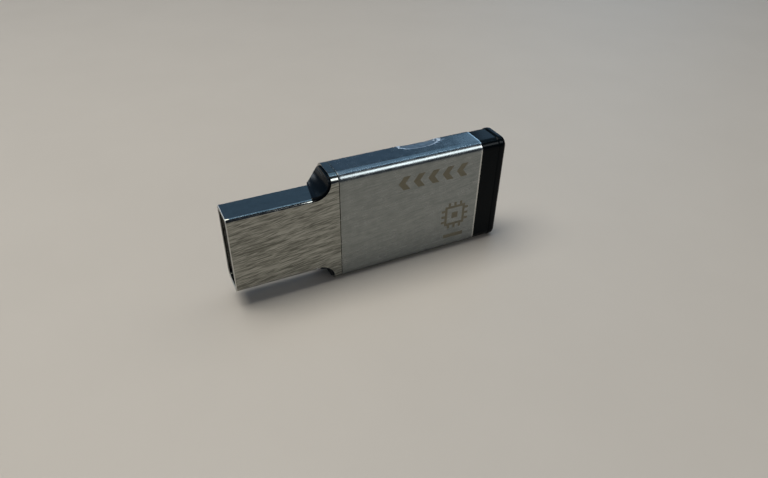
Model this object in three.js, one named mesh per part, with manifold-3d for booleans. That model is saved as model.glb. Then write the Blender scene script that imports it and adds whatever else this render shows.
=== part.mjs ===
// A USB-A flash drive that stands on its long narrow side, as an assembly of separate pieces.
// Millimetres, +Z up. Drive coordinates, used by every function below:
//   X runs from the plug's mouth (0) to the end of the cap, Y from the front face (0) to the back face,
//   Z from the lower narrow side (0) to the upper one.
// The group at the end moves the origin to the middle of the drive's footprint.
import * as THREE from 'three';
import { mergeVertices } from 'three/addons/utils/BufferGeometryUtils.js';
import Module from 'manifold-3d';

const wasm = await Module();
wasm.setup();

// Outer sizes
const PLUG_WIDTH = 12.0;
const PLUG_THICKNESS = 4.5;
const PLUG_EDGE_RADIUS = 0.5;
const BODY_WIDTH = 17.7;
const BODY_THICKNESS = 5.5;
const BODY_EDGE_RADIUS = 1.4;
const SHEET = 0.3;
const DRIVE_LENGTH = 42.8;
const CAP_LENGTH = 4.2;

// Stations along X
const COLLAR_START = 14.55;
const COLLAR_LENGTH = 1.1;
const SEAM_GAP = 0.1;
const PLATE_START = 11.8;
const SEAM = COLLAR_START + COLLAR_LENGTH;
const COLLAR_END = SEAM - SEAM_GAP / 2;
const SLEEVE_START = SEAM + SEAM_GAP / 2;
const SLEEVE_END = DRIVE_LENGTH - CAP_LENGTH;

// The front plate: half its width next to the plug, its scoops, and where and how deep the tube's corners
// are cut away behind it
const PLATE_HALF = PLUG_WIDTH / 2 - 0.35;
const PLATE_SCOOP_RADIUS = 2.45;
const CORNER_CUT_START = 11.95;
const CORNER_CUT_DEPTH = 0.6;

// Levels across Z, and the clearance between pieces that fit together
const MIDDLE = BODY_WIDTH / 2;
const PLUG_LOW = MIDDLE - PLUG_WIDTH / 2;
const PLUG_HIGH = MIDDLE + PLUG_WIDTH / 2;
const FIT = 0.05;
const ARC_STEPS = 8;
const ROUND_END_STEPS = 5;
const BEYOND = 1.0;

// Inner frame
const FRAME_START = 11.85;
const FRAME_BACK_START = 12.65;
const FRAME_HALF = PLUG_WIDTH / 2 + 0.2;
const FRAME_SCOOP_RADIUS = 1.8;
const FRAME_SCOOP_END = 14.25;
const FRAME_END = 37.5;
const RAIL_DEPTH = 1.55;
const CAVITY_START = 16.2;
const CROSSBAR_LENGTH = 0.7;

// Contact tongue and contacts: two outer contacts 7 mm apart, two inner ones 2 mm apart
const TONGUE_START = 0.5;
const TONGUE_FACE = 2.25;
const TONGUE_BLOCK_START = 9.2;
const TONGUE_END = 13.4;
const CONTACT_THICKNESS = 0.2;
const CONTACT_PROUD = 0.05;
const CONTACT_WIDTH = 1.0;
const CONTACT_END = 17.4;
const CONTACTS = [
  { name: 'contact_vbus', offset: 3.5, start: 1.2 },
  { name: 'contact_data_minus', offset: 1.0, start: 2.2 },
  { name: 'contact_data_plus', offset: -1.0, start: 2.2 },
  { name: 'contact_ground', offset: -3.5, start: 1.2 },
];

// Circuit board and what is on it
const BOARD_THICKNESS = 0.8;
const BOARD_START = 13.6;
const BOARD_END = 36.6;
const BOARD_WIDTH = 15.3;
const BOARD_NECK_WIDTH = 10.6;
const BOARD_CORNER_RADIUS = 0.6;
const CONTACT_FACE = TONGUE_FACE - CONTACT_PROUD;
const SEATING_GAP = 0.02;
const BOARD_FRONT = CONTACT_FACE + CONTACT_THICKNESS + SEATING_GAP;
const BOARD_BACK = BOARD_FRONT + BOARD_THICKNESS;
const FRONT_SIDE = -1;
const BACK_SIDE = 1;
// Moulded packages: place of the middle, moulded body, then reach, pitch and number of the leads
// at each end.
const MEMORY = {
  side: BACK_SIDE, x: 26.45, z: MIDDLE, length: 18.4, width: 12.0, height: 1.2,
  reach: 0.75, pitch: 0.5, leads: 24,
};
const CONTROLLER = {
  side: FRONT_SIDE, x: 25.0, z: MIDDLE, length: 7.0, width: 7.0, height: 1.4,
  reach: 0.9, pitch: 0.5, leads: 12,
};
const REGULATOR = {
  side: FRONT_SIDE, x: 33.2, z: 12.9, length: 1.6, width: 2.9, height: 1.1,
  reach: 0.5, pitch: 0.95, leads: 3,
};
const LEAD_THICKNESS = 0.15;
const LEAD_WIDTH = 0.24;
const LEAD_ROOT = 0.1;
// Small parts: a base with a slightly smaller lid or lens on it.
const CRYSTAL = { x: 32.6, z: 6.2, length: 2.5, width: 3.2, base: 0.35, step: 0.15, height: 0.75 };
const LED = { x: 35.4, z: MIDDLE, length: 1.0, width: 1.8, base: 0.35, step: 0.15, height: 0.7 };
// Two-ended components: a body between two terminals that are thicker by a step all round.
const COMPONENT = { length: 1.6, width: 0.8, terminal: 0.35, step: 0.03 };
const CAPACITORS = { perRow: 3, rows: 2, x: 21.6, pitch: 3.2, rowOffset: 5.9, height: 0.8 };
const RESISTORS = { count: 4, x: 18.9, z: 5.4, pitch: 2.3, height: 0.45 };
const PAD = { length: 13.0, width: 8.7 };
const FILM_THICKNESS = 0.1;

// End cap
const CAP_INSET = 0.1;
const CAP_SEAM_GAP = 0.06;
const CAP_END_RADIUS = 0.7;
const CAP_RIM_LENGTH = 1.3;
const CAP_SPIGOT_START = 37.7;
const CAP_WALL = 1.1;

const ALONG_X = new THREE.Matrix4().makeBasis(
  new THREE.Vector3(0, 1, 0), new THREE.Vector3(0, 0, 1), new THREE.Vector3(1, 0, 0));
const ALONG_Y = new THREE.Matrix4().makeBasis(
  new THREE.Vector3(1, 0, 0), new THREE.Vector3(0, 0, 1), new THREE.Vector3(0, -1, 0));

// Solids ------------------------------------------------------------------------------------------

function toSolid(geometry) {
  geometry.deleteAttribute('normal');
  geometry.deleteAttribute('uv');
  const merged = mergeVertices(geometry);
  return new wasm.Manifold(new wasm.Mesh({
    numProp: 3,
    vertProperties: Float32Array.from(merged.attributes.position.array),
    triVerts: Uint32Array.from(merged.index.array),
  }));
}

function toGeometry(solid) {
  const cut = solid.getMesh();
  const geometry = new THREE.BufferGeometry();
  geometry.setAttribute('position', new THREE.BufferAttribute(cut.vertProperties, 3));
  geometry.setIndex(new THREE.BufferAttribute(cut.triVerts, 1));
  geometry.computeVertexNormals();
  return geometry;
}

function block(low, high) {
  const size = high.map((value, i) => value - low[i]);
  const geometry = new THREE.BoxGeometry(...size);
  geometry.translate(...high.map((value, i) => (value + low[i]) / 2));
  return toSolid(geometry);
}

// A shape in the Y-Z plane drawn out along X; roundEnd rounds the edge of the far end.
function prismAlongX(shape, start, end, roundEnd = 0) {
  const geometry = new THREE.ExtrudeGeometry(shape, {
    depth: end - start - 2 * roundEnd,
    curveSegments: ARC_STEPS,
    bevelEnabled: roundEnd > 0,
    bevelThickness: roundEnd,
    bevelSize: roundEnd,
    bevelOffset: -roundEnd,
    bevelSegments: ROUND_END_STEPS,
  });
  geometry.applyMatrix4(ALONG_X);
  geometry.translate(start + roundEnd, 0, 0);
  return toSolid(geometry);
}

// A shape in the X-Z plane drawn out along Y.
function extrudeAlongY(shape, start, end) {
  const geometry = new THREE.ExtrudeGeometry(shape, {
    depth: end - start, curveSegments: 2 * ARC_STEPS, bevelEnabled: false,
  });
  geometry.applyMatrix4(ALONG_Y);
  geometry.translate(0, end, 0);
  return geometry;
}

function prismAlongY(shape, start, end) {
  return toSolid(extrudeAlongY(shape, start, end));
}

function roundedRectangle(low, high, radius) {
  const quarter = Math.PI / 2;
  const shape = new THREE.Shape();
  shape.absarc(high[0] - radius, low[1] + radius, radius, -quarter, 0);
  shape.absarc(high[0] - radius, high[1] - radius, radius, 0, quarter);
  shape.absarc(low[0] + radius, high[1] - radius, radius, quarter, 2 * quarter);
  shape.absarc(low[0] + radius, low[1] + radius, radius, 2 * quarter, 3 * quarter);
  shape.closePath();
  return shape;
}

// Cross-sections, drawn in by an inset all round.
function bodySection(inset) {
  return roundedRectangle(
    [inset, inset], [BODY_THICKNESS - inset, BODY_WIDTH - inset], BODY_EDGE_RADIUS - inset);
}

function plugSection(inset) {
  return roundedRectangle(
    [inset, PLUG_LOW + inset], [PLUG_THICKNESS - inset, PLUG_HIGH - inset], PLUG_EDGE_RADIUS - inset);
}

// Front view of the shoulders from start to end along X: half a width each side of the middle, then a
// quarter-round scoop at each side, which reaches scoopEnd, out to the body's width.
function shoulderOutline(start, end, half, radius, scoopEnd) {
  const centre = scoopEnd - radius;
  const shape = new THREE.Shape();
  shape.moveTo(start, MIDDLE - half);
  shape.absarc(centre, MIDDLE - half - radius, radius, Math.PI / 2, 0, true);
  shape.lineTo(scoopEnd, -BEYOND);
  shape.lineTo(end, -BEYOND);
  shape.lineTo(end, BODY_WIDTH + BEYOND);
  shape.lineTo(scoopEnd, BODY_WIDTH + BEYOND);
  shape.absarc(centre, MIDDLE + half + radius, radius, 0, -Math.PI / 2, true);
  shape.lineTo(start, MIDDLE + half);
  shape.closePath();
  return shape;
}

// The tube's two front corners behind the fold, where the sheet goes on as the flat plate. gap is added
// between the metal and the frame's lips, which take the corners' place.
function frontCorners(gap) {
  const start = CORNER_CUT_START + gap;
  const end = CAVITY_START + BEYOND;
  const depth = CORNER_CUT_DEPTH - gap;
  return block([start, -BEYOND, -BEYOND], [end, depth, MIDDLE - PLATE_HALF - gap])
    .add(block([start, -BEYOND, MIDDLE + PLATE_HALF + gap], [end, depth, BODY_WIDTH + BEYOND]));
}

// Metal and plastic casing ------------------------------------------------------------------------

function plugShell() {
  const tube = prismAlongX(plugSection(0), 0, COLLAR_END)
    .subtract(prismAlongX(plugSection(SHEET), -BEYOND, COLLAR_END + BEYOND))
    .subtract(frontCorners(0));
  const bodySkin = prismAlongX(bodySection(0), PLATE_START, COLLAR_END)
    .subtract(prismAlongX(bodySection(SHEET), PLATE_START - BEYOND, COLLAR_END + BEYOND));
  const shoulders = shoulderOutline(
    PLATE_START, COLLAR_END + BEYOND, PLATE_HALF, PLATE_SCOOP_RADIUS, COLLAR_START);
  const outline = prismAlongY(shoulders, -BEYOND, BODY_THICKNESS + BEYOND);
  const frontPlateZone = block(
    [PLATE_START, -BEYOND, -BEYOND], [COLLAR_START, BODY_EDGE_RADIUS, BODY_WIDTH + BEYOND]);
  const collarZone = block(
    [COLLAR_START, -BEYOND, -BEYOND], [COLLAR_END, BODY_THICKNESS + BEYOND, BODY_WIDTH + BEYOND]);
  return tube.add(bodySkin.intersect(outline).intersect(frontPlateZone.add(collarZone)));
}

function bodySleeve() {
  return prismAlongX(bodySection(0), SLEEVE_START, SLEEVE_END)
    .subtract(prismAlongX(bodySection(SHEET), SLEEVE_START - BEYOND, SLEEVE_END + BEYOND));
}

// Turns each scoop's edge on the back face into a straight slope that starts further from the plug's mouth.
function straightenScoopsAtBack(geometry, back) {
  const radius = FRAME_SCOOP_RADIUS;
  const centre = FRAME_SCOOP_END - radius;
  const offset = FRAME_HALF + radius;
  const slopeLength = FRAME_SCOOP_END - FRAME_BACK_START;
  const points = geometry.attributes.position;
  for (let i = 0; i < points.count; i += 1) {
    const side = Math.sign(points.getZ(i) - MIDDLE);
    const across = Math.max(points.getX(i) - centre, 0);
    const down = offset - side * (points.getZ(i) - MIDDLE);
    const onScoop = down > 0 && Math.hypot(across, down) < radius + FIT;
    if (onScoop && points.getY(i) > back - FIT) {
      const along = 1 - Math.atan2(down, across) / (Math.PI / 2);
      points.setX(i, FRAME_BACK_START + slopeLength * along);
      points.setZ(i, MIDDLE + side * (offset - radius * (1 - along)));
    }
  }
}

// The frame's shoulders behind the front plate: smaller scoops that stand proud of the metal's edge,
// running into straight slopes at the back, with a ramp from the plug's thickness out to the body's.
function frameShoulders() {
  const front = SHEET + FIT;
  const back = BODY_THICKNESS - SHEET - FIT;
  const end = COLLAR_START - FIT;
  const outline = shoulderOutline(FRAME_START, end, FRAME_HALF, FRAME_SCOOP_RADIUS, FRAME_SCOOP_END);
  const scooped = extrudeAlongY(outline, front, back);
  straightenScoopsAtBack(scooped, back);
  const ramp = new THREE.Shape();
  ramp.moveTo(0, FRAME_START - BEYOND);
  ramp.lineTo(PLUG_THICKNESS, FRAME_START - BEYOND);
  ramp.lineTo(PLUG_THICKNESS + FIT, FRAME_BACK_START);
  ramp.lineTo(back, end);
  ramp.lineTo(0, end);
  ramp.closePath();
  const rampGeometry = new THREE.ExtrudeGeometry(ramp, { depth: BODY_WIDTH, bevelEnabled: false });
  // The ramp is drawn with Y across and X up, so its two axes change places here.
  rampGeometry.applyMatrix4(new THREE.Matrix4().makeBasis(
    new THREE.Vector3(0, 1, 0), new THREE.Vector3(1, 0, 0), new THREE.Vector3(0, 0, -1)));
  rampGeometry.translate(0, 0, BODY_WIDTH);
  return toSolid(scooped)
    .intersect(toSolid(rampGeometry))
    .intersect(prismAlongX(bodySection(SHEET + FIT), FRAME_START - BEYOND, end));
}

function innerFrame() {
  const inside = SHEET + FIT;
  const end = COLLAR_START - FIT;
  const core = prismAlongX(bodySection(inside), end - FIT, FRAME_END);
  const cavity = block(
    [CAVITY_START, -BEYOND, inside + RAIL_DEPTH],
    [FRAME_END + BEYOND, BODY_THICKNESS + BEYOND, BODY_WIDTH - inside - RAIL_DEPTH]);
  const crossbar = block(
    [FRAME_END - CROSSBAR_LENGTH, BOARD_BACK + FIT, inside + RAIL_DEPTH / 2],
    [FRAME_END, BODY_THICKNESS - inside, BODY_WIDTH - inside - RAIL_DEPTH / 2]);
  const boardSlot = block(
    [COLLAR_END + FIT, BOARD_FRONT - FIT, MIDDLE - BOARD_WIDTH / 2 - FIT],
    [BOARD_END + FIT, BOARD_BACK + FIT, MIDDLE + BOARD_WIDTH / 2 + FIT]);
  const plugHole = prismAlongX(plugSection(-FIT), FRAME_START - BEYOND, CAVITY_START + BEYOND)
    .subtract(frontCorners(FIT));
  return core.add(frameShoulders()).subtract(cavity).add(crossbar).subtract(boardSlot).subtract(plugHole);
}

function endCap() {
  const start = SLEEVE_END + CAP_SEAM_GAP;
  const rimStart = DRIVE_LENGTH - CAP_RIM_LENGTH;
  const rim = prismAlongX(bodySection(0), rimStart - CAP_RIM_LENGTH, DRIVE_LENGTH, CAP_END_RADIUS)
    .subtract(block([0, -BEYOND, -BEYOND], [rimStart, BODY_THICKNESS + BEYOND, BODY_WIDTH + BEYOND]));
  const waist = prismAlongX(bodySection(CAP_INSET), start, rimStart + FIT);
  const spigot = prismAlongX(bodySection(SHEET + FIT), CAP_SPIGOT_START, start + FIT);
  const pocket = prismAlongX(
    bodySection(SHEET + FIT + CAP_WALL - CAP_INSET), CAP_SPIGOT_START - BEYOND, DRIVE_LENGTH - CAP_WALL);
  return rim.add(waist).add(spigot).subtract(pocket);
}

// Plug insulator and contacts ---------------------------------------------------------------------

function contactStrip(contact, clearance) {
  const z = MIDDLE + contact.offset;
  const half = CONTACT_WIDTH / 2 + clearance;
  return block(
    [contact.start - clearance, CONTACT_FACE - clearance, z - half],
    [CONTACT_END, CONTACT_FACE + CONTACT_THICKNESS + clearance, z + half]);
}

function contactTongue() {
  const full = prismAlongX(plugSection(SHEET + FIT), TONGUE_START, TONGUE_END);
  const gap = block(
    [-BEYOND, -BEYOND, PLUG_LOW], [TONGUE_BLOCK_START, TONGUE_FACE, PLUG_HIGH]);
  let tongue = full.subtract(gap);
  for (const contact of CONTACTS) {
    tongue = tongue.subtract(contactStrip(contact, SEATING_GAP));
  }
  return tongue;
}

// Circuit board and components --------------------------------------------------------------------

function circuitBoard() {
  const neckHigh = MIDDLE + BOARD_NECK_WIDTH / 2;
  const neckLow = MIDDLE - BOARD_NECK_WIDTH / 2;
  const neck = block([BOARD_START, BOARD_FRONT, neckLow], [CAVITY_START + BEYOND, BOARD_BACK, neckHigh]);
  const main = prismAlongY(
    roundedRectangle(
      [CAVITY_START, MIDDLE - BOARD_WIDTH / 2], [BOARD_END, MIDDLE + BOARD_WIDTH / 2], BOARD_CORNER_RADIUS),
    BOARD_FRONT, BOARD_BACK);
  return main.add(neck);
}

// A block that stands on one side of the board, centred at x, z, from one height above it to another.
function onBoard(side, x, z, length, width, low, high) {
  const face = side === FRONT_SIDE ? BOARD_FRONT - SEATING_GAP : BOARD_BACK + SEATING_GAP;
  const levels = [face + side * low, face + side * high].sort((a, b) => a - b);
  return block([x - length / 2, levels[0], z - width / 2], [x + length / 2, levels[1], z + width / 2]);
}

// A moulded package with a row of flat leads at both ends along X, and along Z too where fourSides is true.
function leadedPackage(pack, fourSides) {
  const { side, x, z } = pack;
  let solid = onBoard(side, x, z, pack.length, pack.width, LEAD_THICKNESS / 2, pack.height);
  const leadLength = pack.reach + LEAD_ROOT;
  for (let i = 0; i < pack.leads; i += 1) {
    const offset = (i - (pack.leads - 1) / 2) * pack.pitch;
    for (const end of [-1, 1]) {
      const outX = end * (pack.length + pack.reach - LEAD_ROOT) / 2;
      solid = solid.add(onBoard(side, x + outX, z + offset, leadLength, LEAD_WIDTH, 0, LEAD_THICKNESS));
      if (fourSides) {
        const outZ = end * (pack.width + pack.reach - LEAD_ROOT) / 2;
        solid = solid.add(onBoard(side, x + offset, z + outZ, LEAD_WIDTH, leadLength, 0, LEAD_THICKNESS));
      }
    }
  }
  return solid;
}

// A small two-ended component: a body between two slightly larger end terminals.
function chipComponent(x, z, height) {
  const { length, width, terminal, step } = COMPONENT;
  const body = onBoard(FRONT_SIDE, x, z, length - step, width - 2 * step, step, height - step);
  const end = (length - terminal) / 2;
  return body
    .add(onBoard(FRONT_SIDE, x - end, z, terminal, width, 0, height))
    .add(onBoard(FRONT_SIDE, x + end, z, terminal, width, 0, height));
}

// A base with a smaller lid on it: the crystal's metal can, or the indicator's lens.
function lidded(piece) {
  const { x, z, length, width, base, step, height } = piece;
  return onBoard(FRONT_SIDE, x, z, length, width, 0, base)
    .add(onBoard(FRONT_SIDE, x, z, length - 2 * step, width - 2 * step, base / 2, height));
}

function adhesivePad() {
  const onMemory = BOARD_BACK + SEATING_GAP + MEMORY.height + SEATING_GAP;
  const onSleeve = BODY_THICKNESS - SHEET - SEATING_GAP;
  return block(
    [MEMORY.x - PAD.length / 2, onMemory, MEMORY.z - PAD.width / 2],
    [MEMORY.x + PAD.length / 2, onSleeve, MEMORY.z + PAD.width / 2]);
}

function insulatingFilm() {
  const front = SHEET + SEATING_GAP;
  const edge = SHEET + FIT + RAIL_DEPTH + FIT;
  return block([CAVITY_START + FIT, front, edge], [FRAME_END, front + FILM_THICKNESS, BODY_WIDTH - edge]);
}

// Materials and assembly --------------------------------------------------------------------------

const COLOURS = {
  polishedSteel: { color: 0xc9c7c2, roughness: 0.08, metalness: 1.0 },
  satinSteel: { color: 0xb9b6b0, roughness: 0.32, metalness: 1.0 },
  mattBlack: { color: 0x15171b, roughness: 0.4, metalness: 0.0 },
  glossBlack: { color: 0x08090b, roughness: 0.12, metalness: 0.0 },
  darkInsulator: { color: 0x2a2730, roughness: 0.5, metalness: 0.0 },
  gold: { color: 0xd9b45a, roughness: 0.2, metalness: 1.0 },
  boardGreen: { color: 0x1d5a38, roughness: 0.45, metalness: 0.0 },
  chipBlack: { color: 0x1b1b1d, roughness: 0.6, metalness: 0.0 },
  tinned: { color: 0xbfc1c4, roughness: 0.3, metalness: 1.0 },
  ceramicTan: { color: 0xa98a63, roughness: 0.55, metalness: 0.0 },
  lensWhite: { color: 0xe8ecf4, roughness: 0.3, metalness: 0.0 },
  foamWhite: { color: 0xe4e2da, roughness: 0.9, metalness: 0.0 },
  filmAmber: { color: 0xb9772a, roughness: 0.25, metalness: 0.0 },
};

const drive = new THREE.Group();

function place(name, solid, colour) {
  const mesh = new THREE.Mesh(toGeometry(solid), new THREE.MeshStandardMaterial(COLOURS[colour]));
  mesh.name = name;
  drive.add(mesh);
}

place('plug_shell', plugShell(), 'polishedSteel');
place('body_sleeve', bodySleeve(), 'satinSteel');
place('inner_frame', innerFrame(), 'mattBlack');
place('end_cap', endCap(), 'glossBlack');
place('contact_tongue', contactTongue(), 'darkInsulator');
for (const contact of CONTACTS) {
  place(contact.name, contactStrip(contact, 0), 'gold');
}
place('circuit_board', circuitBoard(), 'boardGreen');
place('controller_chip', leadedPackage(CONTROLLER, true), 'chipBlack');
place('flash_memory_chip', leadedPackage(MEMORY, false), 'chipBlack');
place('voltage_regulator', leadedPackage(REGULATOR, false), 'chipBlack');
place('crystal', lidded(CRYSTAL), 'tinned');
place('indicator_led', lidded(LED), 'lensWhite');
for (let i = 0; i < CAPACITORS.perRow * CAPACITORS.rows; i += 1) {
  const x = CAPACITORS.x + CAPACITORS.pitch * (i % CAPACITORS.perRow);
  const z = MIDDLE + (i < CAPACITORS.perRow ? CAPACITORS.rowOffset : -CAPACITORS.rowOffset);
  place(`capacitor_${i + 1}`, chipComponent(x, z, CAPACITORS.height), 'ceramicTan');
}
for (let i = 0; i < RESISTORS.count; i += 1) {
  const z = RESISTORS.z + RESISTORS.pitch * i;
  place(`resistor_${i + 1}`, chipComponent(RESISTORS.x, z, RESISTORS.height), 'chipBlack');
}
place('adhesive_pad', adhesivePad(), 'foamWhite');
place('insulating_film', insulatingFilm(), 'filmAmber');

drive.position.set(-DRIVE_LENGTH / 2, -BODY_THICKNESS / 2, 0);

export default drive;
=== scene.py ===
import math

import bmesh
import bpy
from mathutils import Matrix, Vector, noise


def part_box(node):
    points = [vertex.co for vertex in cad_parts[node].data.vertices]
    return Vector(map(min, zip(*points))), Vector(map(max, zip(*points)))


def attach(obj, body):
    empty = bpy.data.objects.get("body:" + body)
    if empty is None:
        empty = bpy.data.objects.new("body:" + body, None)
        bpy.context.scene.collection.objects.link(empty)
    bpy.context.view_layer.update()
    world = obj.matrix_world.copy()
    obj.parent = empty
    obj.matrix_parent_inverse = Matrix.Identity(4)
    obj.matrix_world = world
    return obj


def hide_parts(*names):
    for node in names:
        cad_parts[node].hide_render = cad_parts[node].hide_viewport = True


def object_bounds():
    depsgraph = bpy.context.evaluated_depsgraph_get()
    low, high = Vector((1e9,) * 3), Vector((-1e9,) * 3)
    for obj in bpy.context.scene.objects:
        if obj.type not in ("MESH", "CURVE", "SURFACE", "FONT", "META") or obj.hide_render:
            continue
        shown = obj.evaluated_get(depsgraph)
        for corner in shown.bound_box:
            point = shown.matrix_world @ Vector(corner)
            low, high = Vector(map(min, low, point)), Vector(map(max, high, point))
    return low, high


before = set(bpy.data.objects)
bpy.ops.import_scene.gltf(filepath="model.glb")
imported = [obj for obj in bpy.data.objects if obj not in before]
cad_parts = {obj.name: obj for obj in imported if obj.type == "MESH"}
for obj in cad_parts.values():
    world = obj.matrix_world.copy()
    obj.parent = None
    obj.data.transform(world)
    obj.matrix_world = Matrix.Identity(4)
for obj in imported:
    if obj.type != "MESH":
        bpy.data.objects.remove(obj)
cad_low, cad_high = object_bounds()

MM = 0.001
LENGTH, THICKNESS, WIDTH = cad_high - cad_low
MIDDLE = WIDTH / 2

# Stations along X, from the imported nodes
COLLAR_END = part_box("plug_shell")[1].x - cad_low.x
SLEEVE_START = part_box("body_sleeve")[0].x - cad_low.x
SLEEVE_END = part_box("body_sleeve")[1].x - cad_low.x
CAP_SPIGOT_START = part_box("end_cap")[0].x - cad_low.x

# Sections
SHEET = 0.3 * MM
FIT = 0.05 * MM
PLUG_WIDTH = 12.0 * MM
PLUG_THICKNESS = 4.5 * MM
PLUG_EDGE_RADIUS = 0.5 * MM
BODY_EDGE_RADIUS = 1.4 * MM

# The plug's shoulders: a flat front plate with a quarter-round scoop at each side. Behind the plate the tube
# has no front corners. They are cut away to CORNER_CUT_DEPTH from the front.
COLLAR_START = COLLAR_END - 1.05 * MM
PLATE_HALF = PLUG_WIDTH / 2 - 0.35 * MM
SCOOP_RADIUS = 2.45 * MM
SCOOP_X = COLLAR_START - SCOOP_RADIUS
SCOOP_OFFSET = PLATE_HALF + SCOOP_RADIUS
FOLD_END = 11.75 * MM
PLATE_START = 11.85 * MM
CORNER_CUT_DEPTH = 0.6 * MM

# How finely the metal is divided. Across the plate the points are shares of the way to an edge strip, and
# the strip is divided like an arc. SUPPORT is the space between a flat's end and the extra point beside it.
ARC_STEPS = 10
FLAT_STEPS = 6
SIDE_STEPS = 8
SCOOP_STEPS = 18
TUBE_STEPS = 16
PLATE_STEPS = 3
SLEEVE_STEP = 0.35 * MM
FLAT_SHARES = (0.2, 0.4, 0.6, 0.75, 0.85, 0.93, 0.99)
EDGE_STRIP = 0.5 * MM
SUPPORT = 0.04 * MM
MERGE_DISTANCE = 0.0001 * MM

# Roundings of the sheet's cut edges. The bevel has the widest one's size, and the others are shares of it.
WIDEST_RIM = 0.14 * MM
MOUTH_RIM = 0.1 * MM
COLLAR_RIM = 0.08 * MM
SEAM_RIM = 0.04 * MM
PLATE_RIM = 0.03 * MM
RIM_SEGMENTS = 3
SHARP_ANGLE = math.radians(50)

# The knock on the sleeve's upper back edge: a shallow oval bowl with a dimpled bottom. Its wall takes up
# DENT_WALL of the way in. In its paint, a way down the edge counts for DENT_DROP_SHARE of the same way back.
DENT_X, DENT_Y = 29.9 * MM, 4.25 * MM
DENT_HALF_LENGTH, DENT_HALF_WIDTH, DENT_DEPTH = 3.6 * MM, 1.55 * MM, 0.17 * MM
DENT_WALL = 0.4
DENT_DIMPLE = 0.9 * MM
DENT_DROP_SHARE = 0.6


# Small tools ------------------------------------------------------------------------------------


def at(x, y, z):
    """A point in drive coordinates, in the row frame."""
    return Vector((cad_low.x + x, cad_low.y + y, cad_low.z + z))


def lerp(a, b, t):
    return a + (b - a) * t


def smooth(t):
    t = min(max(t, 0.0), 1.0)
    return t * t * (3 - 2 * t)


class Section:
    """A rounded rectangle across the drive, from (y, z) low to high. Places on it are arc lengths from the
    middle of its front, upwards: the front's end, the narrow side's start and end, the back's start, and
    half-way round."""

    def __init__(self, low, high, radius):
        self.low, self.high, self.radius = low, high, radius
        self.middle = (low[1] + high[1]) / 2
        self.side = high[0] - low[0] - 2 * radius
        self.corner = radius * math.pi / 2
        self.front = (high[1] - low[1]) / 2 - radius
        self.side_start = self.front + self.corner
        self.side_end = self.side_start + self.side
        self.back_start = self.side_end + self.corner
        self.half = self.back_start + self.front

    def point(self, s, inset=0.0):
        """(y, z) at arc length s, drawn in by inset."""
        up, s = (1, s) if s >= 0 else (-1, -s)
        radius = self.radius - inset
        if s <= self.front:
            y, z = self.low[0] + inset, s
        elif s <= self.side_start:
            angle = (s - self.front) / self.radius
            y = self.low[0] + self.radius - radius * math.cos(angle)
            z = self.front + radius * math.sin(angle)
        elif s <= self.side_end:
            y, z = self.low[0] + self.radius + s - self.side_start, self.front + radius
        elif s <= self.back_start:
            angle = (s - self.side_end) / self.radius
            y = self.high[0] - self.radius + radius * math.sin(angle)
            z = self.front + radius * math.cos(angle)
        else:
            y, z = self.high[0] - inset, self.front - (s - self.back_start)
        return y, self.middle + up * z

    def stops(self):
        """Arc lengths all round, close together on the corners, with one more beside the front's and the
        back's ends."""
        flat = [self.front * i / FLAT_STEPS for i in range(FLAT_STEPS)]
        corner = [self.corner * i / ARC_STEPS for i in range(ARC_STEPS + 1)]
        side = [self.side * i / SIDE_STEPS for i in range(1, SIDE_STEPS)]
        found = flat + [self.front - SUPPORT] + [self.front + s for s in corner]
        found += [self.side_start + s for s in side] + [self.side_end + s for s in corner]
        found += [self.back_start + SUPPORT] + [self.back_start + s for s in flat[1:]]
        return [-self.half] + [-s for s in reversed(found) if s > 0] + found

    def stops_behind(self, start):
        """Arc lengths from start on the upper half, round the back, to the same place on the lower half."""
        beyond = [s for s in self.stops() if abs(s) > start + SUPPORT / 2]
        return [start] + [s for s in beyond if s > 0] + [s for s in beyond if s < 0] + [-start]

    def rows(self, stations, stops):
        """A row of points at each station."""
        return [[at(x, *self.point(s)) for s in stops] for x in stations]

    def placed(self, row):
        """Points on the section, from pairs of a station and an arc length."""
        return [at(x, *self.point(s)) for x, s in row]


def add_grid(mesh, rows, closed=False):
    """Quads between rows of points. closed joins the last point of each row to its first."""
    made = [[mesh.verts.new(p) for p in row] for row in rows]
    for one, two in zip(made, made[1:]):
        count = len(one)
        for i in range(count if closed else count - 1):
            j = (i + 1) % count
            mesh.faces.new((one[i], one[j], two[j], two[i]))
    return made


def to_object(name, mesh):
    """The mesh as a new object, with its faces turned outwards."""
    bmesh.ops.remove_doubles(mesh, verts=mesh.verts, dist=MERGE_DISTANCE)
    bmesh.ops.recalc_face_normals(mesh, faces=mesh.faces)
    front = min(mesh.faces, key=lambda f: f.calc_center_median().y)
    if front.normal.y > 0:
        bmesh.ops.reverse_faces(mesh, faces=mesh.faces)
    data = bpy.data.meshes.new(name)
    mesh.to_mesh(data)
    mesh.free()
    made = bpy.data.objects.new(name, data)
    bpy.context.scene.collection.objects.link(made)
    return made


def realise(piece):
    """Makes a piece's modifiers part of its mesh."""
    data = bpy.data.meshes.new_from_object(piece.evaluated_get(bpy.context.evaluated_depsgraph_get()))
    data.name = piece.name
    piece.modifiers.clear()
    piece.data = data


def keep_flats_flat(piece):
    """Shades a piece smooth over its roundings, with its flat faces flat."""
    for polygon in piece.data.polygons:
        polygon.use_smooth = True
    normals = piece.modifiers.new("Normals", "WEIGHTED_NORMAL")
    normals.keep_sharp = True
    normals.weight = 100


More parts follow.
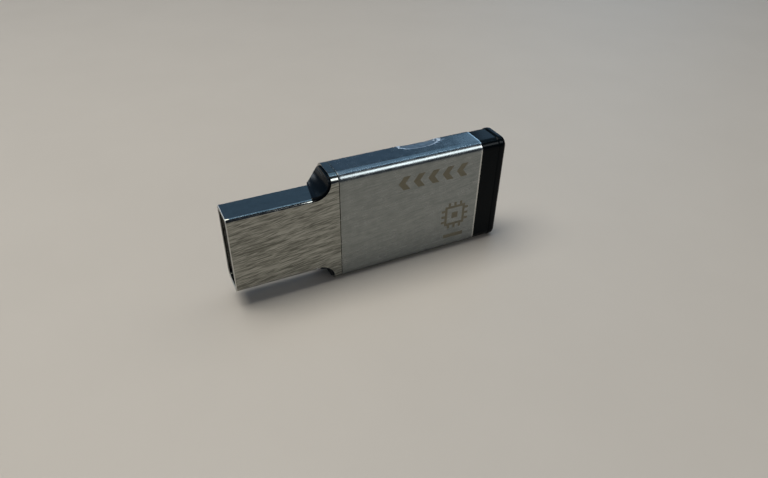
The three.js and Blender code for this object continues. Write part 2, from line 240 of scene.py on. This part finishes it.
def thicken(piece, thickness, rim_radius):
    """Gives a sheet its thickness, inwards, and rounds its cut edges. rim_radius gives an edge's rounding
    from its place along X."""
    sheet = piece.modifiers.new("Sheet", "SOLIDIFY")
    sheet.thickness = thickness
    sheet.offset = -1
    sheet.use_even_offset = True
    realise(piece)
    mesh = bmesh.new()
    mesh.from_mesh(piece.data)
    weight = mesh.edges.layers.float.new("bevel_weight_edge")
    for edge in mesh.edges:
        if edge.calc_face_angle(0.0) > SHARP_ANGLE:
            middle = (edge.verts[0].co.x + edge.verts[1].co.x) / 2 - cad_low.x
            edge[weight] = rim_radius(middle) / WIDEST_RIM
    mesh.to_mesh(piece.data)
    mesh.free()
    rims = piece.modifiers.new("Rims", "BEVEL")
    rims.width = WIDEST_RIM
    rims.segments = RIM_SEGMENTS
    rims.limit_method = "WEIGHT"
    keep_flats_flat(piece)


def soften(piece, width, angle, segments=RIM_SEGMENTS):
    """Rounds the edges sharper than an angle in degrees."""
    bevel = piece.modifiers.new("Edges", "BEVEL")
    bevel.width = width
    bevel.segments = segments
    bevel.limit_method = "ANGLE"
    bevel.angle_limit = math.radians(angle)
    keep_flats_flat(piece)


def finish_piece(piece, material, node):
    """Gives a piece its material and slot, and puts it on the drive in place of a CAD node."""
    piece.data.materials.append(material)
    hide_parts(node)
    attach(piece, "root")


BODY = Section((0.0, 0.0), (THICKNESS, WIDTH), BODY_EDGE_RADIUS)
PLUG = Section((0.0, MIDDLE - PLUG_WIDTH / 2), (PLUG_THICKNESS, MIDDLE + PLUG_WIDTH / 2), PLUG_EDGE_RADIUS)


# Camera -----------------------------------------------------------------------------------------

CAMERA_PLACE = Vector((-31.14, -68.232, 58.388)) * MM
CAMERA_YAW, CAMERA_PITCH, CAMERA_ROLL = math.radians(26.2), math.radians(36.04), math.radians(1.01)
CAMERA_LENS = 28.384


def make_camera():
    data = bpy.data.cameras.new("camera")
    data.sensor_width = 36
    data.lens = CAMERA_LENS
    data.clip_start, data.clip_end = 0.001, 10
    camera = bpy.data.objects.new("camera", data)
    bpy.context.scene.collection.objects.link(camera)
    forward = Vector(
        (
            math.sin(CAMERA_YAW) * math.cos(CAMERA_PITCH),
            math.cos(CAMERA_YAW) * math.cos(CAMERA_PITCH),
            -math.sin(CAMERA_PITCH),
        )
    )
    level = Vector((math.cos(CAMERA_YAW), -math.sin(CAMERA_YAW), 0))
    upright = level.cross(forward)
    right = math.cos(CAMERA_ROLL) * level + math.sin(CAMERA_ROLL) * upright
    up = -math.sin(CAMERA_ROLL) * level + math.cos(CAMERA_ROLL) * upright
    turn = Matrix((right, up, -forward)).transposed().to_4x4()
    camera.matrix_world = Matrix.Translation(CAMERA_PLACE) @ turn
    bpy.context.scene.camera = camera


make_camera()


# Materials --------------------------------------------------------------------------------------


class Paint:
    """One node material: the shader's plain settings, and nodes added one at a time."""

    def __init__(self, name, color, **settings):
        self.material = bpy.data.materials.new(name)
        self.material.use_nodes = True
        self.tree = self.material.node_tree
        self.surface = self.tree.nodes["Principled BSDF"]
        self.surface.inputs["Base Color"].default_value = (*color, 1)
        for socket, value in settings.items():
            self.surface.inputs[socket.replace("_", " ")].default_value = value
        self.place = self.add("ShaderNodeTexCoord").outputs["Object"]

    def add(self, kind, inputs=(), **settings):
        """A new node. inputs are sockets to link from, or plain values."""
        node = self.tree.nodes.new(kind)
        for name, value in settings.items():
            setattr(node, name, value)
        for socket, value in dict(inputs).items():
            if isinstance(value, bpy.types.NodeSocket):
                self.tree.links.new(value, node.inputs[socket])
            else:
                node.inputs[socket].default_value = value
        return node

    def feed(self, socket, value):
        self.tree.links.new(value, self.surface.inputs[socket])

    def split(self, vector):
        """The X, Y and Z of a vector."""
        return self.add("ShaderNodeSeparateXYZ", {0: vector}).outputs

    def math(self, kind, a, b=0.0):
        return self.add("ShaderNodeMath", {0: a, 1: b}, operation=kind).outputs[0]

    def plus(self, a, b):
        return self.math("ADD", a, b)

    def minus(self, a, b):
        return self.math("SUBTRACT", a, b)

    def times(self, a, b):
        return self.math("MULTIPLY", a, b)

    def most(self, first, *others):
        """The highest of some values."""
        for other in others:
            first = self.math("MAXIMUM", first, other)
        return first

    def away(self, value, middle):
        """How far a value is from a middle, to either side."""
        return self.math("ABSOLUTE", self.minus(value, middle))

    def ranged(self, value, low, high, to_low=0.0, to_high=1.0, kind="SMOOTHSTEP"):
        """The range from low to high brought to another one, and held at its ends."""
        node = self.add(
            "ShaderNodeMapRange",
            {"Value": value, 1: low, 2: high, 3: to_low, 4: to_high},
            interpolation_type=kind,
        )
        return node.outputs[0]

    def within(self, value, limit, soft=0.04):
        """1 below a limit and 0 above it, with a soft edge."""
        return self.ranged(value, limit - soft, limit + soft, 1.0, 0.0)

    def band(self, value, low, high, soft=0.04):
        """1 between two values and 0 outside them, with soft edges."""
        rise = self.ranged(value, low - soft, low + soft)
        return self.times(rise, self.within(value, high, soft))

    def blended(self, *parts):
        """0.5, plus each noise's swing about its middle times its weight."""
        total = 0.5
        for value, weight in parts:
            total = self.plus(total, self.times(self.minus(value, 0.5), weight))
        return total

    def mix(self, factor, a, b):
        """Two colours mixed; each is a socket or three numbers."""
        sides = [v if isinstance(v, bpy.types.NodeSocket) else (*v, 1) for v in (a, b)]
        node = self.add("ShaderNodeMix", {0: factor, 6: sides[0], 7: sides[1]}, data_type="RGBA")
        return node.outputs[2]

    def millimetres(self, stretch=(1, 1, 1), turn=(0, 0, 0)):
        """Object coordinates in millimetres, turned and then stretched along each axis."""
        turned = self.add(
            "ShaderNodeMapping",
            {0: self.place, "Rotation": tuple(math.radians(a) for a in turn)},
        )
        scale = tuple(1 / (MM * s) for s in stretch)
        return self.add("ShaderNodeMapping", {0: turned.outputs[0], "Scale": scale}).outputs[0]

    def on_drive(self):
        """Drive coordinates in millimetres, one by one."""
        spot = self.split(self.millimetres())
        return [self.minus(spot[i], cad_low[i] / MM) for i in range(3)]

    def noise(self, vector, scale, detail=4.0, roughness=0.55, distortion=0.0):
        node = self.add(
            "ShaderNodeTexNoise",
            {
                "Vector": vector,
                "Scale": scale,
                "Detail": detail,
                "Roughness": roughness,
                "Distortion": distortion,
            },
        )
        return node.outputs["Fac"]

    def worn_edges(self, radius, grain):
        """1 along sharp edges, broken up by a noise of a grain's size, and 0 on the flats."""
        rounded = self.add("ShaderNodeBevel", {"Radius": radius}, samples=4).outputs[0]
        true = self.add("ShaderNodeNewGeometry").outputs["Normal"]
        inputs = {0: rounded, 1: true}
        turned = self.add("ShaderNodeVectorMath", inputs, operation="DOT_PRODUCT").outputs["Value"]
        broken = self.ranged(self.noise(self.millimetres(), MM / grain, 3.0), 0.4, 0.6, 0.25, 1.0)
        return self.times(self.ranged(turned, 0.97, 0.82), broken)

    def bump(self, height, distance):
        return self.add("ShaderNodeBump", {"Height": height, "Distance": distance}).outputs[0]


# Bright steel for rubbed edges, and also the colour of the painted highlights at the plug's mouth and the
# sleeve's end.
WORN_STEEL_AND_HIGHLIGHT = (0.68, 0.68, 0.65)
SCRAPED_STEEL = (0.95, 0.97, 0.98)
ETCHED_TONE = (0.168, 0.158, 0.122)

# Etched marks on the sleeve's front face, in drive coordinates and millimetres
CHEVRONS = {
    "low": 24.6,
    "high": 36.4,
    "z": 14.1,
    "half": 1.1,
    "pitch": 2.4,
    "stroke_start": 0.05,
    "stroke_end": 1.15,
    "slant": 0.75,
}
CHIP_SIGN = {
    "x": 34.6,
    "z": 6.3,
    "half": 1.75,
    "stroke": 0.42,
    "core_half": 0.54,
    "pin_length": 0.6,
    "pin_width": 0.42,
    "pin_pitch": 1.0,
}
BAR = {"x": 34.6, "z": 2.55, "half_length": 1.75, "half_height": 0.32}
MARK_DEPTH = 0.05


def chevrons(paint, x, z):
    """A row of chevrons that point to the plug."""
    mark = CHEVRONS
    rise = paint.away(z, mark["z"])
    along = paint.minus(paint.minus(x, mark["low"]), paint.times(rise, mark["slant"]))
    row = paint.band(along, 0.0, mark["high"] - mark["low"] - mark["half"] * mark["slant"], 0.01)
    step = paint.math("MODULO", along, mark["pitch"])
    strokes = paint.times(paint.band(step, mark["stroke_start"], mark["stroke_end"]), row)
    return paint.times(strokes, paint.within(rise, mark["half"]))


def chip_sign(paint, x, z):
    """A chip from above: a square outline, a small square inside it, and three pins on each side."""
    mark = CHIP_SIGN
    right, up = paint.away(x, mark["x"]), paint.away(z, mark["z"])
    far = paint.most(right, up)
    near = paint.math("MINIMUM", right, up)
    outline = paint.band(far, mark["half"] - mark["stroke"], mark["half"])
    core = paint.within(far, mark["core_half"])
    row = paint.within(paint.math("PINGPONG", near, mark["pin_pitch"] / 2), mark["pin_width"] / 2)
    row = paint.times(row, paint.math("LESS_THAN", near, mark["pin_pitch"] + mark["pin_width"]))
    pins = paint.times(paint.band(far, mark["half"], mark["half"] + mark["pin_length"]), row)
    return paint.most(outline, core, pins)


def bar(paint, x, z):
    """A short bar."""
    right, up = paint.away(x, BAR["x"]), paint.away(z, BAR["z"])
    return paint.times(paint.within(right, BAR["half_length"]), paint.within(up, BAR["half_height"]))


def etched(paint):
    """Where the generic marks on the sleeve's front face are."""
    x, y, z = paint.on_drive()
    marks = paint.most(chevrons(paint, x, z), chip_sign(paint, x, z), bar(paint, x, z))
    return paint.times(marks, paint.math("LESS_THAN", y, MARK_DEPTH))


def knocked(paint):
    """The knock on the sleeve's upper back edge: how deep in it, from 0 at its outline to 1 at its middle,
    and how far along it, from -1 to 1."""
    x, y, z = paint.on_drive()
    drop = paint.minus(WIDTH / MM, z)
    along = paint.math("DIVIDE", paint.minus(x, DENT_X / MM), DENT_HALF_LENGTH / MM)
    back = paint.plus(paint.minus(y, DENT_Y / MM), paint.times(drop, DENT_DROP_SHARE))
    across = paint.math("DIVIDE", back, DENT_HALF_WIDTH / MM)
    squares = paint.plus(paint.times(along, along), paint.times(across, across))
    ragged = paint.ranged(paint.noise(paint.millimetres(), 1.6, 3.0), 0.25, 0.75, 0.92, 1.08, "LINEAR")
    inside = paint.minus(ragged, paint.math("SQRT", squares))
    lower_down = paint.math("GREATER_THAN", drop, BODY_EDGE_RADIUS / MM)
    return paint.minus(inside, paint.times(lower_down, 10.0)), along


def scraped_knock(paint):
    """The knock's scraped inside, and its bright rim with the specks at the end next to the cap."""
    inside, along = knocked(paint)
    scratches = paint.noise(paint.millimetres((0.9, 0.16, 0.16), (0, 0, 12)), 1.0, 3.0, 0.7)
    scraped = paint.times(paint.ranged(inside, 0.0, 0.12), paint.ranged(scratches, 0.35, 0.7, 0.35, 1.0))
    rim = paint.times(paint.band(inside, 0.02, 0.14, 0.02), paint.ranged(scratches, 0.3, 0.55, 0.3, 1.0))
    specks = paint.ranged(paint.noise(paint.millimetres(), 3.0, 3.0, 0.7), 0.5, 0.6)
    near_cap = paint.times(paint.ranged(along, 0.3, 0.8), paint.band(inside, -0.12, 0.4, 0.08))
    return scraped, paint.most(rim, paint.times(specks, near_cap))


def near_station(paint, low, high):
    """1 between two stations along the drive."""
    return paint.band(paint.on_drive()[0], low / MM, high / MM, 0.03)


def steel(name, bright, dull, rough, smudge, streaks, clouds):
    """Bare steel. bright and dull are its two tones, and smudge is how much rougher the smudges are. streaks
    and clouds are how far each sort of smudge shows."""
    paint = Paint(name, bright, Metallic=1.0, Roughness=rough)
    wiped = paint.noise(paint.millimetres((5.0, 2.0, 0.5), (0, 3, 0)), 1.0, 3.0, distortion=0.8)
    dashes = paint.noise(paint.millimetres((2.4, 0.6, 0.12), (0, 5, 0)), 1.0, 2.0, 0.6, 0.6)
    cross = paint.noise(paint.millimetres((1.6, 0.6, 0.1), (0, 13, 0)), 1.0, 1.0, distortion=0.3)
    cloud = paint.noise(paint.millimetres(), 0.8, 4.0, 0.6)
    hairs = paint.noise(paint.millimetres((2.2, 0.6, 0.04), (0, 8, 0)), 1.0, 1.0)
    normal = paint.add("ShaderNodeNewGeometry").outputs["Normal"]
    facing = paint.math("ABSOLUTE", paint.split(normal)[1])
    broad = paint.ranged(facing, 0.75, 0.98, 0.12, 1.0)
    lines = paint.blended((wiped, 1.6 * streaks), (dashes, 2.4 * streaks), (cross, 1.6 * streaks))
    tone = paint.plus(paint.blended((cloud, clouds)), paint.times(paint.minus(lines, 0.5), broad))
    haze = paint.blended((wiped, 1.0), (cloud, 1.2), (hairs, 0.6))
    color = paint.mix(tone, dull, bright)
    roughness = paint.plus(paint.ranged(haze, 0.2, 0.8, 0.0, smudge, "LINEAR"), rough)
    return paint, color, roughness, hairs


def finish_steel(paint, color, roughness, hairs, bump, rubbed):
    """Rubs the edges bright, and connects everything. rubbed is a mask of its own for one cut edge, painted
    in the same bright steel: at the mouth a scuff that also serves as a painted highlight, and along the
    sleeve's end a painted highlight.
    """
    worn = paint.times(paint.worn_edges(0.12 * MM, 0.3 * MM), 0.35)
    paint.feed("Base Color", paint.mix(paint.most(worn, rubbed), color, WORN_STEEL_AND_HIGHLIGHT))
    paint.feed("Roughness", paint.plus(roughness, paint.times(worn, 0.1)))
    paint.feed("Normal", paint.bump(hairs, bump))
    return paint.material


def polished_steel():
    """The plug and collar: close to a mirror, with finger smudges wiped along it, and a scuffed mouth whose
    rim is also brightened as a painted highlight.
    """
    paint, color, roughness, hairs = steel(
        "polished_steel",
        bright=(0.36, 0.365, 0.335),
        dull=(0.13, 0.132, 0.118),
        rough=0.06,
        smudge=0.1,
        streaks=1.15,
        clouds=0.2,
    )
    # The mouth's rim is a scuff, and it is brightened further as a painted highlight of its rounded edge.
    mouth = near_station(paint, -SHEET, MOUTH_RIM)
    roughness = paint.plus(roughness, paint.times(mouth, 0.45))
    return finish_steel(paint, color, roughness, hairs, 0.0004 * MM, paint.times(mouth, 0.8))


def satin_steel():
    """The sleeve: duller, cloudy steel with the etched marks, a scraped knock, and a painted highlight along
    its end next to the cap.
    """
    paint, color, roughness, hairs = steel(
        "satin_steel",
        bright=(0.285, 0.3, 0.298),
        dull=(0.178, 0.196, 0.192),
        rough=0.19,
        smudge=0.1,
        streaks=0.5,
        clouds=1.2,
    )
    marks = etched(paint)
    color = paint.mix(marks, color, ETCHED_TONE)
    roughness = paint.plus(roughness, paint.times(marks, 0.18))
    scraped, rim = scraped_knock(paint)
    color = paint.mix(paint.most(paint.times(scraped, 0.4), rim), color, SCRAPED_STEEL)
    roughness = paint.plus(roughness, paint.times(scraped, 0.12))
    roughness = paint.plus(roughness, paint.times(rim, 0.25))
    # Painted highlight: a bright band just before the sleeve's end, standing in for the light line on its
    # chamfer.
    end = near_station(paint, SLEEVE_END - 0.32 * MM, SLEEVE_END - 0.08 * MM)
    return finish_steel(paint, color, roughness, hairs, 0.0006 * MM, paint.times(end, 0.6))


def plastic(name, color, rough, grain, grain_size=0.08, tint=1.6, shine=0.5):
    """Moulded plastic: a fine grain, as deep as grain and as wide as grain_size in millimetres, and slow
    changes in gloss and in tone, up to tint times the colour."""
    paint = Paint(name, color, Roughness=rough, Specular_IOR_Level=shine)
    slow = paint.noise(paint.millimetres(), 0.35, 3.0)
    fine = paint.noise(paint.millimetres(), 1 / grain_size, 2.0)
    worn = paint.worn_edges(0.15 * MM, 0.35 * MM)
    moulded = paint.mix(slow, color, tuple(c * tint for c in color))
    rubbed = tuple(c * 2.5 + 0.004 for c in color)
    paint.feed("Base Color", paint.mix(paint.times(worn, 0.35), moulded, rubbed))
    gloss = paint.ranged(slow, 0.3, 0.7, rough * 0.8, rough * 1.25)
    paint.feed("Roughness", paint.plus(gloss, paint.times(worn, 0.12)))
    paint.feed("Normal", paint.bump(fine, grain))
    return paint.material


def plated(name, color, worn, rough):
    """Thin plating with rubbed streaks along X that show the metal under it."""
    paint = Paint(name, color, Metallic=1.0, Roughness=rough)
    rubbed = paint.noise(paint.millimetres((4.0, 0.5, 0.12)), 1.0, 3.0)
    paint.feed("Base Color", paint.mix(paint.ranged(rubbed, 0.52, 0.72), color, worn))
    paint.feed("Roughness", paint.ranged(rubbed, 0.3, 0.7, rough * 0.7, rough * 1.6))
    paint.feed("Normal", paint.bump(rubbed, 0.004 * MM))
    return paint.material


def board_green():
    """Solder mask over copper tracks: a slightly raised, lighter grid of lines under the lacquer."""
    paint = Paint("board_green", (0.01, 0.09, 0.04), Roughness=0.35)
    bend = paint.times(paint.noise(paint.millimetres(), 0.6, 0.0), 3.0)
    lane = paint.math("PINGPONG", paint.plus(paint.split(paint.millimetres())[2], bend), 0.35)
    tracks = paint.ranged(lane, 0.14, 0.2)
    paint.feed("Base Color", paint.mix(tracks, (0.008, 0.07, 0.03), (0.02, 0.16, 0.07)))
    paint.feed("Roughness", paint.ranged(paint.noise(paint.millimetres(), 2.0), 0.3, 0.7, 0.28, 0.42))
    paint.feed("Normal", paint.bump(tracks, 0.03 * MM))
    return paint.material


POLISHED = polished_steel()
SATIN = satin_steel()
CAP_BLACK = plastic("cap_black", (0.0015, 0.0032, 0.0045), 0.12, 0.0006 * MM, shine=0.06)
FRAME_BLACK = plastic("frame_black", (0.003, 0.006, 0.01), 0.22, 0.001 * MM, shine=0.1)
TONGUE_DARK = plastic("tongue_dark", (0.03, 0.026, 0.034), 0.45, 0.006 * MM)
GOLD = plated("contact_gold", (0.83, 0.58, 0.24), (0.62, 0.6, 0.55), 0.18)
TIN = plated("tinned_metal", (0.66, 0.66, 0.66), (0.5, 0.49, 0.47), 0.28)
BOARD = board_green()
CHIP_BLACK = plastic("chip_black", (0.018, 0.018, 0.02), 0.55, 0.012 * MM, grain_size=0.05)
CERAMIC = plastic("ceramic", (0.4, 0.26, 0.14), 0.5, 0.006 * MM, grain_size=0.05, tint=1.25)
LENS = plastic("led_lens", (0.75, 0.78, 0.82), 0.25, 0.002 * MM, grain_size=0.1, tint=1.1)
FOAM = plastic("foam", (0.7, 0.68, 0.62), 0.9, 0.05 * MM, grain_size=0.12, tint=1.15)
FILM = plastic("film", (0.45, 0.2, 0.04), 0.2, 0.003 * MM, grain_size=0.4, tint=1.4)


# Metal pieces -----------------------------------------------------------------------------------


def both_sides(half):
    """A whole front row, mirrored from its upper half, which starts next to the middle."""
    return [(x, -s) for x, s in reversed(half)] + [(half[0][0], 0.0)] + half


def flat_half(x):
    """Half of the flat middle of the plug's front at a station, spaced like the plate it runs into."""
    inner = PLATE_HALF - EDGE_STRIP
    stops = [inner * share for share in FLAT_SHARES]
    stops += [inner + EDGE_STRIP * i / ARC_STEPS for i in range(ARC_STEPS + 1)]
    return [(x, s) for s in stops if s < PLUG.front + SUPPORT / 2]


def folded_row(x):
    """The plug's front at a station, with its two folded corners."""
    corner = [(x, PLUG.front + PLUG.corner * i / ARC_STEPS) for i in range(1, ARC_STEPS + 1)]
    return both_sides(flat_half(x) + corner)


def plate_row(x, angle=0.0):
    """A row across the front plate at a station. Along the scoops, angle goes from 0 to a right angle."""
    edge_x = x + SCOOP_RADIUS * math.sin(angle)
    edge = SCOOP_OFFSET - SCOOP_RADIUS * math.cos(angle)
    strip = []
    for i in range(ARC_STEPS + 1):
        away = EDGE_STRIP * (1 - i / ARC_STEPS)
        strip.append((edge_x + away * math.sin(angle), edge - away * math.cos(angle)))
    flat_x, flat_edge = strip[0]
    return both_sides([(flat_x, flat_edge * share) for share in FLAT_SHARES] + strip)


def plug_rim_radius(x):
    """How round the cut edges are: full at the mouth, crisp along the plate, and soft at the collar."""
    if x < SHEET:
        return MOUTH_RIM
    return PLATE_RIM if x < COLLAR_START or x > COLLAR_END - SHEET else COLLAR_RIM


def make_plug_shell():
    """The folded sheet: the plug's tube, a front plate with two scoops behind a slit, and the collar."""
    mesh = bmesh.new()
    tube = [FOLD_END * i / TUBE_STEPS for i in range(TUBE_STEPS + 1)]
    add_grid(mesh, [PLUG.placed(folded_row(x)) for x in tube])
    add_grid(mesh, [BODY.placed(both_sides(flat_half(x))) for x in (FOLD_END, PLATE_START)])

    cut = PLUG.stops_behind(PLUG.side_start + CORNER_CUT_DEPTH - PLUG_EDGE_RADIUS)
    add_grid(mesh, PLUG.rows(tube + [PLATE_START], [PLUG.side_start] + cut + [-PLUG.side_start]))
    add_grid(mesh, PLUG.rows((PLATE_START, SCOOP_X, COLLAR_START), cut))

    plate = [plate_row(lerp(PLATE_START, SCOOP_X, i / PLATE_STEPS)) for i in range(PLATE_STEPS)]
    plate += [plate_row(SCOOP_X, math.pi / 2 * i / SCOOP_STEPS) for i in range(SCOOP_STEPS + 1)]
    plate = [BODY.placed(row) for row in plate]
    add_grid(mesh, plate)

    strip = [COLLAR_START + EDGE_STRIP * i / ARC_STEPS for i in range(ARC_STEPS + 1)]
    behind = BODY.rows(strip, BODY.stops_behind(SCOOP_OFFSET))
    add_grid(mesh, behind)
    ring = plate[-1][ARC_STEPS:-ARC_STEPS] + behind[-1][1:-1]
    end = [Vector((cad_low.x + COLLAR_END, p.y, p.z)) for p in ring]
    add_grid(mesh, [ring, end], closed=True)

    piece = to_object("plug_shell_sheet", mesh)
    thicken(piece, SHEET, plug_rim_radius)
    finish_piece(piece, POLISHED, "plug_shell")


def sleeve_rim_radius(x):
    """How round the sleeve's ends are: crisp at the seam, with a wider chamfer next to the cap."""
    return SEAM_RIM if x < LENGTH / 2 else WIDEST_RIM


def make_body_sleeve():
    """The satin sleeve, with the knock in its upper back edge."""
    mesh = bmesh.new()
    count = round((SLEEVE_END - SLEEVE_START) / SLEEVE_STEP)
    dent_s = BODY.side_end + DENT_Y - (THICKNESS - BODY_EDGE_RADIUS)
    rows = []
    for i in range(count + 1):
        x = lerp(SLEEVE_START, SLEEVE_END, i / count)
        row = []
        for s in BODY.stops():
            away = math.hypot((x - DENT_X) / DENT_HALF_LENGTH, (s - dent_s) / DENT_HALF_WIDTH)
            dimple = 0.85 + 0.3 * noise.noise(Vector((x, s, 0)) / DENT_DIMPLE)
            row.append(at(x, *BODY.point(s, DENT_DEPTH * dimple * smooth((1 - away) / DENT_WALL))))
        rows.append(row)
    add_grid(mesh, rows, closed=True)
    piece = to_object("body_sleeve_sheet", mesh)
    thicken(piece, SHEET, sleeve_rim_radius)
    finish_piece(piece, SATIN, "body_sleeve")


# Plastic pieces and contacts --------------------------------------------------------------------

CAP_INSET = 0.1 * MM
CAP_GAP = 0.06 * MM
CAP_RIM_LENGTH = 1.3 * MM
CAP_END_RADIUS = 0.7 * MM
CAP_END_STEPS = 9
CAP_WALL = 1.1 * MM
CAP_SOFT = 0.05 * MM
CAP_EDGE = 0.02 * MM
FRAME_EDGE = 0.12 * MM
TONGUE_EDGE = 0.1 * MM

CONTACT_DIP = 0.04 * MM
CONTACT_RAMP = 1.2 * MM
CONTACT_RIM = 0.03 * MM
CONTACT_BLUNT = 0.3
CONTACT_STEPS = 24
CONTACT_HALF_STEPS = 4


def cap_profile():
    """The cap's outline as (x, inset) pairs, from its pocket over the spigot, waist and rim to its end."""
    start = SLEEVE_END + CAP_GAP
    rim = LENGTH - CAP_RIM_LENGTH
    inner = SHEET + FIT
    pocket = inner + CAP_WALL - CAP_INSET
    profile = [
        (LENGTH - CAP_WALL, pocket),
        (CAP_SPIGOT_START, pocket),
        (CAP_SPIGOT_START, inner),
        (start, inner),
        (start, CAP_INSET + CAP_SOFT),
        (start + CAP_SOFT * 0.3, CAP_INSET + CAP_SOFT * 0.3),
        (start + CAP_SOFT, CAP_INSET),
        (rim - 2 * CAP_SOFT, CAP_INSET),
        (rim - CAP_SOFT, CAP_INSET * 0.85),
        (rim + CAP_SOFT, CAP_INSET * 0.15),
        (rim + 2 * CAP_SOFT, 0.0),
    ]
    for i in range(CAP_END_STEPS + 1):
        turn = math.pi / 2 * i / CAP_END_STEPS
        x = LENGTH - CAP_END_RADIUS * (1 - math.sin(turn))
        profile.append((x, CAP_END_RADIUS * (1 - math.cos(turn))))
    return profile + [(LENGTH, CAP_END_RADIUS + 2 * SUPPORT)]


def make_end_cap():
    """The gloss cap: a plain waist next to the sleeve, a slightly proud rim with a rounded end, and a
    hollow spigot."""
    mesh = bmesh.new()
    rows = [[at(x, *BODY.point(s, inset)) for s in BODY.stops()] for x, inset in cap_profile()]
    rings = add_grid(mesh, rows, closed=True)
    mesh.faces.new(rings[0])
    mesh.faces.new(rings[-1])
    piece = to_object("end_cap_moulding", mesh)
    soften(piece, CAP_EDGE, 60, segments=1)
    finish_piece(piece, CAP_BLACK, "end_cap")


def remould(node, width, material):
    """A CAD node's faces, joined where they are flat, with their edges rounded."""
    mesh = bmesh.new()
    mesh.from_mesh(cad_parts[node].data)
    bmesh.ops.remove_doubles(mesh, verts=mesh.verts, dist=10 * MERGE_DISTANCE)
    bmesh.ops.dissolve_limit(mesh, angle_limit=math.radians(1), verts=mesh.verts, edges=mesh.edges)
    piece = to_object(node + "_moulding", mesh)
    soften(piece, width, 35)
    finish_piece(piece, material, node)


def make_contact(node):
    """A gold contact: a thin strip whose tip is rounded and dips into the tongue."""
    low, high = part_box(node)
    half = (high.z - low.z) / 2
    middle = (high.z + low.z) / 2
    rows = []
    for i in range(CONTACT_STEPS + 1):
        away = (high.x - low.x) * (i / CONTACT_STEPS) ** 2
        share = math.sqrt(1 - (1 - min(away / half, 1)) ** 2)
        across = half * max(share, CONTACT_BLUNT) / CONTACT_HALF_STEPS
        y = low.y + CONTACT_DIP * (1 - smooth(away / CONTACT_RAMP))
        spread = range(-CONTACT_HALF_STEPS, CONTACT_HALF_STEPS + 1)
        rows.append([Vector((low.x + away, y, middle + across * k)) for k in spread])
    mesh = bmesh.new()
    add_grid(mesh, rows)
    piece = to_object(node + "_strip", mesh)
    thicken(piece, high.y - low.y - CONTACT_DIP, lambda x: CONTACT_RIM)
    finish_piece(piece, GOLD, node)


make_plug_shell()
make_body_sleeve()
make_end_cap()
remould("inner_frame", FRAME_EDGE, FRAME_BLACK)
remould("contact_tongue", TONGUE_EDGE, TONGUE_DARK)
for contact in ("contact_vbus", "contact_data_minus", "contact_data_plus", "contact_ground"):
    make_contact(contact)


# Pieces inside, kept from the CAD model ---------------------------------------------------------

INSIDE = {
    "circuit_board": BOARD,
    "controller_chip": CHIP_BLACK,
    "flash_memory_chip": CHIP_BLACK,
    "voltage_regulator": CHIP_BLACK,
    "crystal": TIN,
    "indicator_led": LENS,
    "capacitor": CERAMIC,
    "resistor": CHIP_BLACK,
    "adhesive_pad": FOAM,
    "insulating_film": FILM,
}
for name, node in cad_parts.items():
    kind = name.rstrip("_0123456789")
    if kind in INSIDE:
        node.data.materials.clear()
        node.data.materials.append(INSIDE[kind])


# Floor and light --------------------------------------------------------------------------------

FLOOR_HALF = 1.5


def make_floor():
    """A plain pale floor, with slow changes in its tone."""
    mesh = bmesh.new()
    steps = [-FLOOR_HALF, FLOOR_HALF]
    add_grid(mesh, [[Vector((x, y, 0)) for x in steps] for y in steps])
    floor = to_object("floor", mesh)
    paint = Paint("floor_pale", (0.62, 0.6, 0.56), Roughness=0.55)
    slow = paint.noise(paint.millimetres(), 0.05, 3.0)
    paint.feed("Base Color", paint.mix(slow, (0.6, 0.58, 0.54), (0.64, 0.62, 0.58)))
    floor.data.materials.append(paint.material)


def make_light(name, place, size, radiance, color, diffuse=True, glossy=True):
    """A flat lamp that faces the drive's long axis. size is along X and across it, and radiance is how
    bright its surface is. Without diffuse it is a card that only shows in gloss. Without glossy it is a
    plain fill."""
    data = bpy.data.lights.new(name, "AREA")
    data.shape = "RECTANGLE"
    data.size, data.size_y = size
    data.energy = radiance * math.pi * size[0] * size[1]
    data.color = color
    lamp = bpy.data.objects.new(name, data)
    bpy.context.scene.collection.objects.link(lamp)
    back = Vector((0, place[1], place[2])).normalized()
    across = Vector((1, 0, 0))
    turn = Matrix((across, back.cross(across), back)).transposed().to_4x4()
    lamp.matrix_world = Matrix.Translation(place) @ turn
    lamp.visible_diffuse = diffuse
    lamp.visible_glossy = glossy


make_floor()
make_light("key", (-0.14, 0.07, 0.40), (0.3, 0.22), 5.2, (1.0, 0.93, 0.83))
make_light("fill", (0.35, 0.12, 0.6), (0.9, 0.5), 0.85, (1.0, 0.96, 0.88), glossy=False)
make_light("front_fill", (0.1, -0.5, 0.42), (0.9, 0.5), 0.32, (1.0, 0.9, 0.76), glossy=False)
make_light("softbox", (0.37, -0.43, 0.425), (0.44, 0.235), 5.3, (0.9, 0.96, 1.0), diffuse=False)
make_light("ceiling", (0.25, 0.22, 0.62), (0.9, 0.62), 0.66, (0.36, 0.66, 1.0), diffuse=False)
make_light("strip", (0.35, 0.01, 0.62), (0.7, 0.015), 6.0, (0.55, 0.78, 1.0), diffuse=False)
make_light("panel", (0.40, 0.75, 0.30), (1.4, 0.45), 0.23, (0.28, 0.6, 1.0), diffuse=False)
make_light("side_panel", (0.613, 0.55, 0.36), (0.4, 0.25), 1.25, (0.42, 0.7, 1.0), diffuse=False)
make_light("window", (-0.38, 0.67, 0.16), (0.2, 0.14), 5.0, (0.82, 0.92, 1.0), diffuse=False)

world = bpy.data.worlds.new("world")
bpy.context.scene.world = world
world.use_nodes = True
background = world.node_tree.nodes["Background"]
background.inputs["Color"].default_value = (0.045, 0.055, 0.075, 1)
background.inputs["Strength"].default_value = 1.0
bpy.context.scene.view_settings.view_transform = "Standard"
